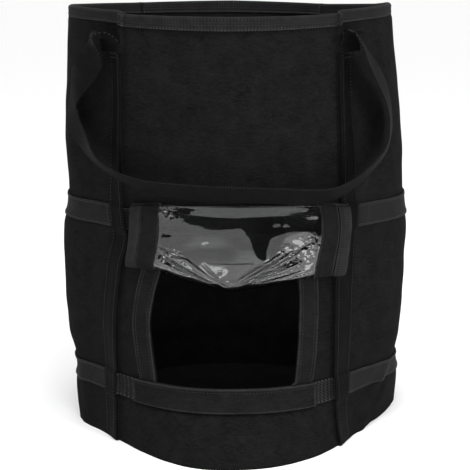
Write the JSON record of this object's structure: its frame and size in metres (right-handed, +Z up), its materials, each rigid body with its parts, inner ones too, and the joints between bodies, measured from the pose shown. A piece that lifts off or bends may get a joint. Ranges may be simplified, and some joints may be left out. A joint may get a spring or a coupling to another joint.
{
  "type": "grow bag",
  "caption": "Upright round bag of black felt with a bound rim, webbing straps and bands, drooping carry handles and a front harvest window under a folded-up clear flap.",
  "frame": {"origin": "middle of the base disc, on the floor", "axes": "+Z up, the window and the front handle face -Y, +X to the right as seen from the front"},
  "size_m": [0.3743, 0.3848, 0.4536],
  "materials": {
    "felt": "matt needle-punched black felt",
    "webbing": "woven black webbing with a slight sheen",
    "binding": "folded black binding tape",
    "hook_tape": "black hook-and-loop tape",
    "clear_film": "clear soft vinyl, glossy"
  },
  "bodies": {
    "root": {"felt_wall": "felt", "felt_base": "felt", "rim_binding": "binding", "lower_band": "webbing", "upper_band": "webbing", "strap_front_left": "webbing", "strap_front_right": "webbing", "strap_back_left": "webbing", "strap_back_right": "webbing", "window_tape_left": "hook_tape", "window_tape_right": "hook_tape", "window_tape_foot": "hook_tape", "flap_film": "clear_film", "flap_hook_left": "hook_tape", "flap_hook_right": "hook_tape", "flap_hem_left": "webbing", "flap_hem_right": "webbing", "handle_front": "webbing", "handle_back": "webbing"}
  },
  "joints": []
}
